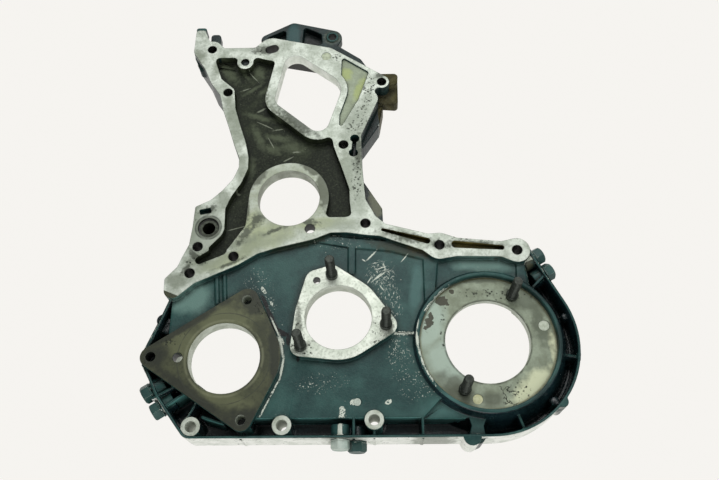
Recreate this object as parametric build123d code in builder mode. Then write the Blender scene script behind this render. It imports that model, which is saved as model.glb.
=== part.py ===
# Pump gear housing, cast in aluminium and machined on its joint faces.
# It lies on its rear joint face: Z = 0 is that face, +Z is the front, and the
# origin is the axis of the main bore. Millimetres throughout.
import os
from math import acos, atan2, cos, degrees, hypot, pi, radians, sin

from build123d import *

# Heights above the rear joint face
face_z = 46.0
face_rise = 8.0
front_wall = 8.0
pocket_web = 5.0
rim_z = 40.0
rear_flange = 8.0
lip_z = 44.0
annulus_z = 37.0
annulus_web = 10.0
frame_rise = 2.0
low_panel_drop = 5.0
sleeve_z = 39.5

# Wall thicknesses
wall = 7.0
rim_wall = 3.0
rib_wall = 3.0
inside_corner = 5.0

# Bores: centre and radius
bore_a = (-271.2, -17.8)
bore_a_r = 37.0
bore_b = (-154.5, 25.1)
bore_b_r = 35.0
bore_c = (0.0, 0.0)
bore_c_r = 44.0
bore_d = (-211.5, 165.5)
bore_d_r = 34.5
bore_depth = 18.0
bore_collar = 7.0

# Gasket face of the arm, as bosses and waists: centre X, centre Y, radius
corner_tab_left = (-333.0, 400.0, 3.0)
corner_tab_right = (-327.0, 400.0, 3.0)
corner_shoulder = (-325.0, 372.0, 11.5)
corner_boss = (-314.0, 373.0, 12.5)
left_waist_1 = (-313.7, 347.0, 7.7)
left_waist_2 = (-305.0, 325.0, 6.7)
left_boss = (-291.0, 309.0, 9.0)
left_waist_3 = (-286.8, 285.0, 7.3)
left_waist_4 = (-278.6, 260.0, 6.8)
left_waist_5 = (-271.0, 237.0, 6.9)
left_waist_6 = (-265.4, 219.0, 5.4)
left_waist_7 = (-265.0, 205.0, 5.4)
left_waist_8 = (-271.0, 188.0, 5.5)
left_waist_9 = (-282.5, 171.0, 6.8)
slot_corner = (-313.0, 154.0, 3.0)
slot_boss = (-293.0, 155.0, 11.0)
port_boss = (-299.0, 130.0, 17.7)
port_foot_boss = (-309.0, 107.0, 10.0)
port_waist = (-318.0, 92.0, 7.5)
pad_boss = (-317.0, 76.0, 14.0)
pad_corner = (-336.5, 68.0, 5.0)
corner_pad = (-331.5, 57.0, 9.5)
top_bar_start = (-303.0, 367.5, 7.5)
top_bar_end = (-258.0, 367.5, 7.5)
top_boss = (-240.0, 372.0, 17.0)
plug_boss = (-173.0, 360.0, 13.5)
right_boss = (-106.0, 321.0, 9.0)
right_shoulder = (-122.0, 297.0, 11.5)
kidney_top = (-141.0, 248.0, 10.5)
kidney_low = (-140.0, 222.0, 10.0)
middle_boss = (-151.0, 234.0, 11.5)
right_waist_1 = (-140.0, 200.0, 11.0)
right_waist_2 = (-135.5, 177.0, 8.5)
right_waist_3 = (-134.5, 160.0, 9.0)
centre_boss = (-126.0, 133.0, 14.0)
low_left_boss = (-269.0, 94.5, 11.0)
low_left_waist = (-247.0, 106.5, 9.5)
low_pad = (-226.0, 117.0, 13.0)
d_root = (-243.5, 127.0, 15.0)
through_boss = (-187.0, 127.0, 13.5)
low_waist_1 = (-166.0, 131.5, 9.5)
low_waist_2 = (-146.0, 131.5, 9.5)
slot_1_start = (-108.0, 125.0, 8.0)
slot_1_end = (-59.0, 109.0, 10.5)
band_boss = (-46.0, 105.0, 15.5)
slot_2_start = (-29.0, 103.5, 11.0)
slot_2_end = (21.0, 100.5, 9.0)
end_boss = (37.0, 99.0, 14.0)
blind_boss = (-272.0, 353.0, 10.0)

left_rail = [corner_shoulder, left_waist_1, left_waist_2, left_boss, left_waist_3,
             left_waist_4, left_waist_5, left_waist_6, left_waist_7, left_waist_8,
             left_waist_9, slot_boss, port_boss, port_foot_boss, port_waist, pad_boss]
top_rail = [corner_boss, top_bar_start, top_bar_end, top_boss, plug_boss, right_boss]
right_rail = [kidney_top, kidney_low, right_waist_1, right_waist_2, right_waist_3,
              centre_boss]
bottom_rail = [pad_boss, low_left_boss, low_left_waist, low_pad, through_boss, low_waist_1,
               low_waist_2, centre_boss, slot_1_start, slot_1_end, band_boss, slot_2_start,
               slot_2_end, end_boss]
d_boss = (bore_d[0], bore_d[1], bore_d_r + 10.5)

# Narrow foot of the left pocket, between the port and the band
pocket_foot = [(-306.0, 90.7, 4.2), (-283.5, 103.0, 6.5)]
# Thin cast ridges on the pocket's floor, as pairs of points
pocket_ridges = [((-310.7, 362.8), (-289.7, 353.8)), ((-305.4, 352.3), (-286.3, 348.2))]
ridge_wall = 1.6
ridge_rise = 1.5

# Window of the arm: corner circles, and the land left round it
window_corners = [(-210.0, 347.0, 14.0), (-180.0, 310.0, 25.0), (-181.0, 266.0, 13.0),
                  (-219.0, 300.0, 14.0)]
window_land = 12.0
window_right_land = 8.5

# Crescent recess beside the window
crescent_corners = [(-151.0, 352.5, 3.0), (-125.5, 334.0, 3.5), (-137.0, 298.0, 3.5),
                    (-154.0, 262.0, 2.0)]
crescent_depth = 2.5

# Lower case: rim outline, body outline inside the channel, ring round the main bore
rim_bosses = [(-324.0, 46.0, 12.0), (-347.0, -16.0, 11.0), (-332.0, -52.0, 8.0),
              (-301.0, -86.0, 12.0), (-2.0, -1.5, 96.0), (37.0, 99.0, 14.0)]
body_bosses = [(-325.0, 46.0, 8.0), (-327.0, -22.0, 6.0), (-258.0, -73.0, 5.0),
               (-27.0, -73.0, 5.0), (44.0, 60.0, 5.0), (38.0, 94.0, 6.0),
               (-46.0, 106.0, 3.0), (-126.0, 133.0, 3.0), (-187.0, 127.0, 3.0),
               (-269.0, 95.0, 3.0)]
# Hollow behind the arm's web, as two belts
upper_hollow = [(-303.0, 356.0, 5.0), (-240.0, 371.0, 9.0), (-173.0, 359.0, 6.5),
                (-118.0, 319.0, 5.0), (-143.0, 247.0, 4.0), (-254.0, 214.5, 4.5),
                (-271.0, 247.0, 4.0)]
lower_hollow = [(-254.0, 214.5, 4.5), (-144.0, 240.0, 4.0), (-143.0, 200.0, 5.0),
                (-142.0, 128.0, 5.0), (-268.0, 104.0, 5.0), (-282.0, 116.0, 5.0),
                (-282.0, 140.0, 5.0)]
ring_lip_r = 75.0
ring_floor_r = 71.0
ring_spread = 17.0
ring_stud_pitch = ring_lip_r - 18.0
ring_plug_pitch = ring_floor_r - 9.5
triangle_panel = [(-71.0, -80.0), (-47.0, -55.0), (-10.0, -55.0), (-10.0, -80.0)]

# Pump flanges on the front wall
flange_a_bosses = [(-251.0, 45.0, 12.5), (-250.0, -81.0, 11.0), (-347.0, -16.0, 11.0),
                   (-263.0, -17.0, 50.0)]
flange_a_holes = [(-251.0, 45.0), (-250.0, -81.0), (-347.0, -16.0), (-319.0, -17.0)]
flange_b_bosses = [(-162.0, 72.0, 11.5), (-178.0, 66.0, 12.5), (-193.0, -6.0, 11.0),
                   (-105.0, 16.0, 11.5), (-154.5, 25.1, 46.0)]
flange_b_studs = [(-162.0, 72.0), (-193.0, -6.0), (-105.0, 16.0)]
flange_b_dowel_hole = (-178.0, 66.0)
ring_stud_angles = (60.2, 242.1)

# Raised frames of the front wall, round two flat panels, with ribs under the band
frames = [[(-178.0, 118.0, 5.0), (-141.0, 112.0, 6.0), (-100.0, 108.0, 6.0), (-57.0, 97.0, 7.0)],
          [(-141.0, 112.0, 4.0), (-141.0, 78.0, 4.0)],
          [(-287.5, 80.0, 2.2), (-284.0, 44.0, 2.2)],
          [(-279.0, 80.0, 2.0), (-275.8, 46.0, 2.0)],
          [(-97.0, 10.7, 1.4), (-70.0, 8.0, 1.4)]]
panel_2_frame = [(-57.0, 97.0, 7.0), (38.0, 93.0, 6.0), (42.0, 54.0, 6.0), (-58.0, 45.0, 6.0)]
panel_2 = [(-46.5, 52.0, 6.0), (-37.0, 83.5, 12.0), (23.5, 83.0, 12.0), (28.0, 60.0, 6.0)]

# Bolt holes
bolt_hole_r = 5.5
column_r = 10.0
face_bolts = [(-314.0, 373.0), (-290.0, 309.0), (-106.0, 321.0), (-151.0, 234.0),
              (-126.0, 133.0), (-269.0, 95.0), (-309.0, 107.0), (-315.0, 76.0),
              (-46.0, 106.0), (37.0, 99.0)]
plate_bolt = (-187.0, 127.0)
ear_columns = flange_a_holes[1:3]
sleeve_bolts = [(-301.0, -86.0), (-210.0, -85.0), (-118.0, -80.0)]
sleeve_r = 9.8
tapped_r = 5.0
tapped_depth = 16.0
blind_web = 2.0
tapped_boss_r = 9.0
dowel_r = 3.7

# Ports, slots and cavities of the gasket face
port = (-299.0, 130.0)
port_mouth_r = 11.5
port_mouth_depth = 3.0
port_r = 7.0
bush_r = 10.0
bush_length = 12.0
port_slot = (-304.0, 150.0)
port_slot_length = 12.8
port_slot_width = 6.3
port_slot_corner = 1.8
port_slot_turn = 11.0
top_hole = (-240.0, 372.0)
top_hole_length = 16.5
top_hole_width = 11.0
top_hole_turn = 20.0
blind_hole_r = 5.0
blind_hole_depth = 4.0
kidney_lobes = [(-138.0, 242.0, 5.0), (-139.5, 223.0, 5.0)]
kidney_neck = 2.2
kidney_depth = 14.0
slot_1 = [(-107.0, 124.8, 1.6), (-59.0, 111.0, 3.2)]
slot_2 = [(-29.0, 106.5, 4.0), (21.0, 102.0, 2.4)]
slot_depth = 8.0

# Ribs and bosses in the channel, as pairs of points
channel_ribs = [((-70.0, -76.0), (-70.0, -97.0)), ((-138.5, -76.0), (-138.5, -97.0)),
                ((-250.0, -76.0), (-250.0, -97.0)), ((-118.0, -85.0), (-118.0, -97.0)),
                ((-346.0, -46.0), (-334.0, -37.0)), ((-342.0, -57.0), (-322.0, -45.0)),
                ((-332.0, -67.5), (-311.0, -52.0)), ((-307.0, -80.0), (-298.0, -62.0)),
                ((-290.0, -76.0), (-270.0, -82.0)), ((52.0, 60.0), (66.0, 74.0))]
radial_rib_angles = (-10.0, -71.0)
rib_z = 38.0
radial_rib_z = 34.0
channel_lumps = [(64.0, -60.5, 4.5), (83.7, 29.2, 3.5)]
lump_z = 30.0
bridge = [(-15.0, -75.0, 9.0), (-15.5, -85.0, 6.0), (-16.0, -95.0, 8.0)]
rim_bumps = [(-22.0, -97.0, 9.0), (69.5, -63.0, 6.0)]

# Lugs cast on the outside: outline circles, then the heights each stands between
top_lug = [(-249.0, 399.0, 8.0), (-216.0, 416.0, 9.0), (-167.0, 400.0, 12.0),
           (-180.0, 370.0, 10.0), (-240.0, 372.0, 10.0)]
top_lug_heights = (18.0, 31.0)
top_strip = [(-173.0, 380.0, 14.0), (-137.0, 361.0, 8.0), (-127.0, 346.0, 7.0)]
top_strip_heights = (18.0, 31.0)
bracket_base = [(-106.0, 332.0, 7.0), (-91.0, 334.0, 4.5), (-91.0, 305.0, 4.5),
                (-106.0, 308.0, 6.0)]
bracket_base_heights = (14.0, 28.0)
bracket_ledge = [(-107.0, 333.0, 5.0), (-91.5, 333.0, 5.0), (-92.0, 326.0, 5.0),
                 (-106.0, 325.0, 6.0)]
bracket_ledge_heights = (26.0, 38.0)
back_body = [(-116.6, 302.0, 12.0), (-121.0, 276.0, 12.0), (-138.0, 249.0, 12.0)]
back_body_heights = (0.0, 26.0)
low_right_lug = [(-134.0, 196.0, 6.0), (-125.0, 180.0, 6.0), (-114.0, 161.0, 7.0),
                 (-113.5, 148.0, 7.0), (-130.0, 150.0, 8.0)]
low_right_lug_heights = (0.0, 22.0)
left_foot = [(-344.0, 30.0, 7.0), (-338.0, 22.0, 8.0)]
left_foot_heights = (0.0, 26.0)
corner_block = [(-317.0, 404.5, 4.0), (-312.5, 404.5, 4.0), (-314.0, 385.0, 6.0)]
corner_block_heights = (18.0, 31.0)
corner_end = [(-335.0, 409.0, 3.0), (-328.0, 409.0, 3.0), (-331.0, 395.0, 5.0)]
corner_end_heights = (24.0, 40.0)
left_strip = [(-335.5, 378.0, 4.0), (-327.0, 354.0, 4.0)]
left_strip_heights = (20.0, 33.0)
lugs = [(top_lug, top_lug_heights), (top_strip, top_strip_heights),
        (bracket_base, bracket_base_heights), (bracket_ledge, bracket_ledge_heights),
        (back_body, back_body_heights), (low_right_lug, low_right_lug_heights),
        (left_foot, left_foot_heights), (corner_block, corner_block_heights),
        (corner_end, corner_end_heights), (left_strip, left_strip_heights)]
# Two pockets in the top lug, either side of its rib
lug_pockets = [[(-246.0, 400.0, 3.0), (-229.0, 409.0, 3.0), (-229.0, 396.0, 3.0),
                (-242.0, 390.0, 3.0)],
               [(-200.5, 413.0, 3.0), (-184.0, 404.0, 3.0), (-184.0, 394.0, 4.0),
                (-200.5, 392.0, 4.0)]]
lug_pocket_depth = 10.0
lug_ring = top_lug[2][:2]
lug_ring_r = 7.7
lug_ring_rise = 2.0
lug_hole_r = 5.0

# Side bolts: point on the rim wall and height, head length, direction faced in degrees
side_bolt_places = [(-345.2, -47.4, 29.0), (-334.5, -64.0, 26.0), (-152.0, -98.0, 30.0),
                    (-135.5, -98.0, 20.0), (56.0, 94.5, 30.0), (66.0, 77.5, 26.0)]
side_bolt_heads = (9.0, 9.0, 8.0, 9.0, 9.0, 9.0)
side_bolt_facings = (212.0, 212.0, 270.0, 270.0, 30.0, 30.0)
hex_across = 17.0
washer_r = 9.5
washer_t = 1.5
side_shank_r = 4.0
side_shank = 10.0
side_boss_r = 9.5
side_boss_proud = 4.5
head_chamfer = 0.8

# Studs and plugs
stud_r = 5.0
stud_height = 44.0
stud_chamfer = 1.0
collar_r = 6.4
collar_height = 7.0
plug_depth = 6.0
plug_recess = 0.5
gallery_plug = (-173.0, 360.0, 5.6)
field_plug = (-135.0, -62.0, 3.8)
# Plugs of the ring: angle in degrees round the main bore, and radius
ring_plugs = [(256.7, 5.0), (15.8, 5.5)]

# Heights and seats that follow from the sizes above
field_z = face_z - face_rise
inner_z = field_z - front_wall
pocket_z = inner_z + pocket_web
ring_under_z = annulus_z - annulus_web


def on_circle(radius, angle):
    """Point at an angle in degrees on a circle round the main bore."""
    return (radius * cos(radians(angle)), radius * sin(radians(angle)))


def belt_turns(circles):
    """Angles at which a tight belt round the circles leaves one for the next."""
    here = min(circles, key=lambda circle: circle[1] - circle[2])
    angle = -pi / 2
    turned = 0.0
    turns = []
    while True:
        steps = []
        for there in circles:
            dx = there[0] - here[0]
            dy = there[1] - here[1]
            gap = hypot(dx, dy)
            if gap > abs(here[2] - there[2]):
                leave = atan2(dy, dx) - acos((here[2] - there[2]) / gap)
                steps.append(((leave - angle + 1e-9) % (2 * pi), there))
        step, there = min(steps)
        if turned + step > 2 * pi - 1e-6:
            return turns
        turned += step
        angle += step
        turns.append((angle, here, there))
        here = there


def belt(circles, grow=0.0, mode=Mode.ADD):
    """Face inside a tight belt round circles of (x, y, radius), each grown alike."""
    rounds = [(x, y, radius + grow) for x, y, radius in circles]
    turns = belt_turns(rounds)
    with BuildLine(mode=Mode.PRIVATE) as outline:
        for turn, following in zip(turns, turns[1:] + turns[:1]):
            angle, here, there = turn
            normal = (cos(angle), sin(angle))
            leave = (here[0] + here[2] * normal[0], here[1] + here[2] * normal[1])
            reach = (there[0] + there[2] * normal[0], there[1] + there[2] * normal[1])
            Line(leave, reach)
            sweep_angle = degrees((following[0] - angle) % (2 * pi))
            CenterArc(there[:2], there[2], degrees(angle), sweep_angle)
    make_face(outline.edges(), mode=mode)


def rail(circles, grow=0.0, mode=Mode.ADD):
    """Belts round each neighbouring pair of circles, as a rail with bosses along it."""
    for pair in zip(circles, circles[1:]):
        belt(pair, grow, mode)


def stand(sketch, bottom, top, mode=Mode.ADD):
    """Extrude a finished plan between two heights."""
    extrude(sketch.moved(Location((0, 0, bottom))), amount=top - bottom, dir=(0, 0, 1), mode=mode)


def side_plane(place, facing):
    """Plane on the rim wall, its normal pointing the way a side bolt faces."""
    return Plane(origin=place, z_dir=(*on_circle(1, facing), 0))


def save(piece, name):
    """Name a finished piece and write its file."""
    piece.part.label = name
    export_step(piece.part, f"parts/{name}.step")


os.makedirs("parts", exist_ok=True)

# Studs and plugs of the ring lie on circles round the main bore
ring_studs = [on_circle(ring_stud_pitch, angle) for angle in ring_stud_angles]
plugs = {"gallery_plug": (*gallery_plug, face_z), "field_plug": (*field_plug, field_z)}
for number, (angle, radius) in enumerate(ring_plugs, start=1):
    plugs[f"ring_plug_{number}"] = (*on_circle(ring_plug_pitch, angle), radius, annulus_z)
side_planes = [side_plane(place, facing)
               for place, facing in zip(side_bolt_places, side_bolt_facings)]

# Plan of the gasket face, its inside corners rounded as cast
with BuildSketch() as face_plan:
    rail(left_rail)
    rail(top_rail)
    rail(right_rail)
    rail(bottom_rail)
    belt([corner_tab_left, corner_tab_right, corner_shoulder])
    belt([pad_boss, pad_corner, corner_pad])
    belt([middle_boss, kidney_top, kidney_low])
    belt(window_corners, grow=window_land)
    belt([plug_boss, right_shoulder, kidney_top, middle_boss])
    belt([d_boss, low_pad, through_boss])
    belt([d_boss, d_root, low_pad])
    rail([low_left_boss, d_root])
    belt([middle_boss, kidney_low, right_waist_1])
    belt([slot_corner, slot_boss, port_boss])
    rail([blind_boss, (blind_boss[0], *top_bar_start[1:])])
    offset(amount=inside_corner)
    offset(amount=-inside_corner)
    belt(pocket_foot, mode=Mode.SUBTRACT)

# Plan of the whole arm, pockets filled in
with BuildSketch() as arm_plan:
    make_face(face_plan.face().outer_wire().edges())

with BuildSketch() as hollow_plan:
    belt(body_bosses)
    offset(amount=-wall)
    belt(upper_hollow)
    belt(lower_hollow)

with BuildSketch() as rim_plan:
    belt(rim_bosses)
    for x, y, radius in rim_bumps:
        with Locations((x, y)):
            Circle(radius)

with BuildSketch() as channel_plan:
    belt(rim_bosses, grow=-rim_wall)

with BuildPart() as housing:
    # Rear flange, rim and the channel between rim and body
    stand(rim_plan.sketch, 0, rim_z)
    stand(channel_plan.sketch, rear_flange, rim_z, Mode.SUBTRACT)
    with BuildSketch(Plane.XY.offset(rear_flange)):
        belt(body_bosses)
    extrude(amount=rim_z - rear_flange, mode=Mode.SUBTRACT)
    # Lugs on the outside
    for outline, (bottom, top) in lugs:
        with BuildSketch(Plane.XY.offset(bottom)):
            belt(outline)
        extrude(amount=top - bottom)
    with BuildSketch(Plane.XY.offset(top_lug_heights[1])):
        for outline in lug_pockets:
            belt(outline)
    extrude(amount=-lug_pocket_depth, mode=Mode.SUBTRACT)
    # Body, arm web and gasket face
    with BuildSketch():
        belt(body_bosses)
    extrude(amount=field_z)
    stand(arm_plan.sketch, 0, pocket_z)
    stand(face_plan.sketch, inner_z, face_z)
    # Low triangular panel beside the ring, and raised frames
    with BuildSketch(Plane.XY.offset(field_z - low_panel_drop)):
        with BuildLine():
            Polyline(*triangle_panel, close=True)
        make_face()
    extrude(amount=low_panel_drop, mode=Mode.SUBTRACT)
    with BuildSketch(Plane.XY.offset(inner_z)):
        belt(panel_2_frame)
        belt(panel_2, mode=Mode.SUBTRACT)
        for frame in frames:
            rail(frame)
    extrude(amount=front_wall + frame_rise)
    # Ridges on the pocket's floor
    with BuildSketch(Plane.XY.offset(inner_z)):
        for start, end in pocket_ridges:
            belt([(*start, ridge_wall / 2), (*end, ridge_wall / 2)])
    extrude(amount=pocket_web + ridge_rise)
    # Ring round the main bore, with a drafted skirt
    Cone(ring_lip_r + ring_spread, ring_lip_r, lip_z, align=(Align.CENTER, Align.CENTER, Align.MIN))
    with Locations((0, 0, annulus_z)):
        Cylinder(ring_floor_r, face_z - annulus_z, mode=Mode.SUBTRACT,
                 align=(Align.CENTER, Align.CENTER, Align.MIN))
    # Pump flanges
    with BuildSketch(Plane.XY.offset(field_z)):
        belt(flange_a_bosses)
        belt(flange_b_bosses)
    extrude(amount=face_rise)
    # Ribs, lumps and bridge across the channel
    with BuildSketch():
        for start, end in channel_ribs:
            belt([(*start, rib_wall / 2), (*end, rib_wall / 2)])
    extrude(amount=rib_z)
    with BuildSketch():
        for angle in radial_rib_angles:
            belt([(*on_circle(radius, angle), rib_wall / 2)
                  for radius in (ring_lip_r + rib_wall, rim_bosses[4][2] - rib_wall)])
    extrude(amount=radial_rib_z)
    with BuildSketch():
        for x, y, radius in channel_lumps:
            with Locations((x, y)):
                Circle(radius)
    extrude(amount=lump_z)
    with BuildSketch():
        rail(bridge)
    extrude(amount=field_z - low_panel_drop)
    # Hollow at the rear, with bolt columns and bosses left standing in it
    stand(hollow_plan.sketch, 0, inner_z, Mode.SUBTRACT)
    Cone(ring_lip_r + ring_spread - wall, ring_lip_r - wall, ring_under_z, mode=Mode.SUBTRACT,
         align=(Align.CENTER, Align.CENTER, Align.MIN))
    with BuildSketch():
        with Locations(*face_bolts):
            Circle(column_r)
    extrude(amount=inner_z)
    with BuildSketch():
        with Locations(*ear_columns):
            Circle(tapped_boss_r)
    extrude(amount=field_z)
    with BuildSketch():
        with Locations(*sleeve_bolts):
            Circle(sleeve_r)
    extrude(amount=sleeve_z)
    with BuildSketch(Plane.XY.offset(face_z - bore_depth)):
        for centre, radius in ((bore_a, bore_a_r), (bore_b, bore_b_r)):
            with Locations(centre):
                Circle(radius + bore_collar)
    extrude(amount=bore_depth - face_rise)
    with BuildSketch(Plane.XY.offset(inner_z - blind_web)):
        with Locations(flange_a_holes[0]):
            Circle(tapped_boss_r)
    extrude(amount=blind_web + front_wall)
    # Side bolt bosses on the rim
    for plane in side_planes:
        with Locations(plane.location):
            Cylinder(side_boss_r, side_boss_proud + side_shank,
                     align=(Align.CENTER, Align.CENTER, Align.MAX))
    # Ring boss on the top lug
    with BuildSketch(Plane.XY.offset(top_lug_heights[1])):
        with Locations(lug_ring):
            Circle(lug_ring_r)
    extrude(amount=lug_ring_rise)

    # Pump bores through the flanges and their collars, then the through openings
    with BuildSketch(Plane.XY.offset(face_z - bore_depth)):
        for centre, radius in ((bore_a, bore_a_r), (bore_b, bore_b_r)):
            with Locations(centre):
                Circle(radius)
    extrude(amount=bore_depth, mode=Mode.SUBTRACT)
    with BuildSketch():
        for centre, radius in ((bore_c, bore_c_r), (bore_d, bore_d_r)):
            with Locations(centre):
                Circle(radius)
        belt(window_corners)
    extrude(amount=face_z, mode=Mode.SUBTRACT)
    # Crescent recess
    with BuildSketch(Plane.XY.offset(face_z - crescent_depth)):
        belt(crescent_corners)
        belt(window_corners, grow=window_right_land, mode=Mode.SUBTRACT)
    extrude(amount=crescent_depth, mode=Mode.SUBTRACT)
    # Bolt holes, and the oval one in the top boss
    with BuildSketch():
        with Locations(*face_bolts, *sleeve_bolts, plate_bolt):
            Circle(bolt_hole_r)
        with Locations(lug_ring):
            Circle(lug_hole_r)
        with Locations(top_hole):
            SlotOverall(top_hole_length, top_hole_width, rotation=top_hole_turn)
    extrude(amount=face_z, mode=Mode.SUBTRACT)
    # Tapped holes for studs
    with BuildSketch(Plane.XY.offset(face_z - tapped_depth)):
        with Locations(*flange_b_studs, *flange_a_holes):
            Circle(tapped_r)
        with Locations(flange_b_dowel_hole):
            Circle(dowel_r)
    extrude(amount=tapped_depth, mode=Mode.SUBTRACT)
    with BuildSketch(Plane.XY.offset(annulus_z - annulus_web)):
        with Locations(*ring_studs):
            Circle(tapped_r)
    extrude(amount=annulus_web, mode=Mode.SUBTRACT)
    # Round port with its bush seat, and the slot above it
    with Locations((*port, face_z)):
        CounterBoreHole(bush_r, port_mouth_r, port_mouth_depth, port_mouth_depth + bush_length)
        Hole(port_r, face_z - pocket_web)
    with BuildSketch(Plane.XY.offset(face_z - slot_depth)):
        with Locations(port_slot):
            RectangleRounded(port_slot_length, port_slot_width, port_slot_corner,
                             rotation=port_slot_turn)
        belt(slot_1)
        belt(slot_2)
    extrude(amount=slot_depth, mode=Mode.SUBTRACT)
    # Kidney cavity and blind hole
    with BuildSketch(Plane.XY.offset(face_z - kidney_depth)):
        for x, y, radius in kidney_lobes:
            with Locations((x, y)):
                Circle(radius)
        belt([(x, y, kidney_neck) for x, y, radius in kidney_lobes])
    extrude(amount=kidney_depth, mode=Mode.SUBTRACT)
    with Locations((*blind_boss[:2], face_z)):
        Hole(blind_hole_r, blind_hole_depth)
    # Seats of the plugs
    for x, y, radius, top in plugs.values():
        with Locations((x, y, top)):
            Hole(radius, plug_depth)
    # Tapped holes of the side bolts
    for plane in side_planes:
        with Locations(plane.location):
            Cylinder(side_shank_r, 2 * side_shank, mode=Mode.SUBTRACT)
save(housing, "housing")

# Studs, each with a plain collar at its foot and a chamfered end
stud_seats = {f"flange_stud_{number}": (*place, face_z, tapped_depth)
              for number, place in enumerate(flange_b_studs, start=1)}
stud_seats |= {f"ring_stud_{number}": (*place, annulus_z, annulus_web)
               for number, place in enumerate(ring_studs, start=1)}
for name, (x, y, seat, grip) in stud_seats.items():
    with BuildPart(Plane((x, y, seat - grip))) as stud:
        Cylinder(stud_r, grip + stud_height, align=(Align.CENTER, Align.CENTER, Align.MIN))
        chamfer(stud.faces().sort_by(Axis.Z)[-1].edges(), stud_chamfer)
        with Locations((0, 0, grip)):
            Cylinder(collar_r, collar_height, align=(Align.CENTER, Align.CENTER, Align.MIN))
    save(stud, name)

# Hexagon bolts in the side of the rim, with a washer face under each head
for number, (plane, head_length) in enumerate(zip(side_planes, side_bolt_heads), start=1):
    with BuildPart(plane) as side_bolt:
        with Locations((0, 0, -side_shank)):
            Cylinder(side_shank_r, side_shank + side_boss_proud,
                     align=(Align.CENTER, Align.CENTER, Align.MIN))
        with Locations((0, 0, side_boss_proud)):
            Cylinder(washer_r, washer_t, align=(Align.CENTER, Align.CENTER, Align.MIN))
        with BuildSketch(plane.offset(side_boss_proud + washer_t)):
            RegularPolygon(hex_across / 2, 6, major_radius=False)
        extrude(amount=head_length)
        outer_face = side_bolt.faces().sort_by(Axis(plane.origin, plane.z_dir))[-1]
        chamfer(outer_face.edges(), head_chamfer)
    save(side_bolt, f"side_bolt_{number}")

# Steel bush in the round port
with BuildPart(Plane((*port, face_z - port_mouth_depth - bush_length))) as port_bush:
    Cylinder(bush_r, bush_length, align=(Align.CENTER, Align.CENTER, Align.MIN))
    Hole(port_r)
save(port_bush, "port_bush")

# Plugs pressed into blind seats
for name, (x, y, radius, top) in plugs.items():
    with BuildPart(Plane((x, y, top - plug_depth))) as plug:
        Cylinder(radius, plug_depth - plug_recess, align=(Align.CENTER, Align.CENTER, Align.MIN))
    save(plug, name)
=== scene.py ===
"""Looks of the pump gear housing: finishes of the casting and its studs, bolts, bush and plugs."""

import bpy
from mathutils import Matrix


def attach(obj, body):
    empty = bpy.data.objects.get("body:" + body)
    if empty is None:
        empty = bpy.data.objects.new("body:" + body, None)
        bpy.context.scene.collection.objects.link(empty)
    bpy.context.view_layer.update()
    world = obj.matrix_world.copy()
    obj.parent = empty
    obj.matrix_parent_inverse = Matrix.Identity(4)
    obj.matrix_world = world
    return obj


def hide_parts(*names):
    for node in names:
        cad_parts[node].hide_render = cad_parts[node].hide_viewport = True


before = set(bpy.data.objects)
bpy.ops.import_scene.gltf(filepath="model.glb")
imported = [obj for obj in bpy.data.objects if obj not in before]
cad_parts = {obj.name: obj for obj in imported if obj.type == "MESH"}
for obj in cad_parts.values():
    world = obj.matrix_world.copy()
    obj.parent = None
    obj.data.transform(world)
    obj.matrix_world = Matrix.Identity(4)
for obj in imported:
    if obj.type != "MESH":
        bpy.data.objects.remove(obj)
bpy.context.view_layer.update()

import math

import bmesh
import bpy
import numpy as np
from mathutils import Euler

MM = 0.001

# Heights of the casting above its rear joint face, in mm
FACE_Z = 46.0
LIP_Z = 44.0
FRAME_Z = 40.0
SLEEVE_Z = 39.5
FIELD_Z = 38.0
RING_FLOOR_Z = 37.0
POCKET_Z = 35.0
LOW_PANEL_Z = 33.0
WINDOW_LEDGE_Z = 30.0
REAR_LEDGE_Z = 28.5
CHANNEL_Z = 8.0
CRESCENT_DEPTH = 2.5
RIDGE_RISE = 1.5

# Axes of the bores, and their radii
BORES = [(-271.2, -17.8, 37.0), (-154.5, 25.1, 35.0), (0.0, 0.0, 44.0), (-211.5, 165.5, 34.5)]
RING_FLOOR_R = 71.0
RING_BANK_R = 93.0

# Where the casting's parts lie: the gasket rail and the end of its left foot, the corner under the
# arm, the arm's window, the near side of the channel, the foot of the rim and the rusty lug
RAIL_Y = 84.5
RAIL_FOOT = (-255.0, 60.0)
ARM_CORNER = (-105.0, 125.0)
WINDOW = (-195.0, 302.0, 63.0)
BANK_Y = -50.0
RIM_FOOT_Y = -80.0
RUSTY_LUG = (-112.0, 295.0)
FLANGE_SPLIT_X = -205.0

# Holes, with the reach round each axis that takes in the hole's wall
BOLT_HOLES = [(-314.0, 373.0), (-290.0, 309.0), (-106.0, 321.0), (-151.0, 234.0),
              (-126.0, 133.0), (-269.0, 95.0), (-309.0, 107.0), (-315.0, 76.0),
              (-46.0, 106.0), (37.0, 99.0), (-187.0, 127.0), (-167.0, 400.0),
              (-272.0, 353.0), (-347.0, -16.0)]
BRIGHT_HOLES = [(-301.0, -86.0), (-210.0, -85.0), (-118.0, -80.0), (-251.0, 45.0),
                (-250.0, -81.0)]
BOLT_HOLE_REACH = 5.8
PORT = (-299.0, 130.0, 12.0)
TOP_HOLE = (-240.0, 372.0, 9.0)
SLOTS = [((-107.0, 124.8), (-59.0, 111.0)), ((-29.0, 106.5), (21.0, 102.0))]
SLOT_REACH = 5.5

# Triangles that meet at less than half a degree are one flat face, followed over this many steps.
# A face is level if its heights keep within the slack of one height
FLAT_COSINE = math.cos(math.radians(0.5))
FLAT_STEPS = 40
LEVEL_SLACK = 0.3

# Edges sharper than this are rounded: cast ones by the whole width, machined ones by a share of it
EDGE_ANGLE = math.radians(32)
EDGE_ROUNDING = 1.2
MACHINED_SHARE = 0.4
WELD = 0.01

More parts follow.
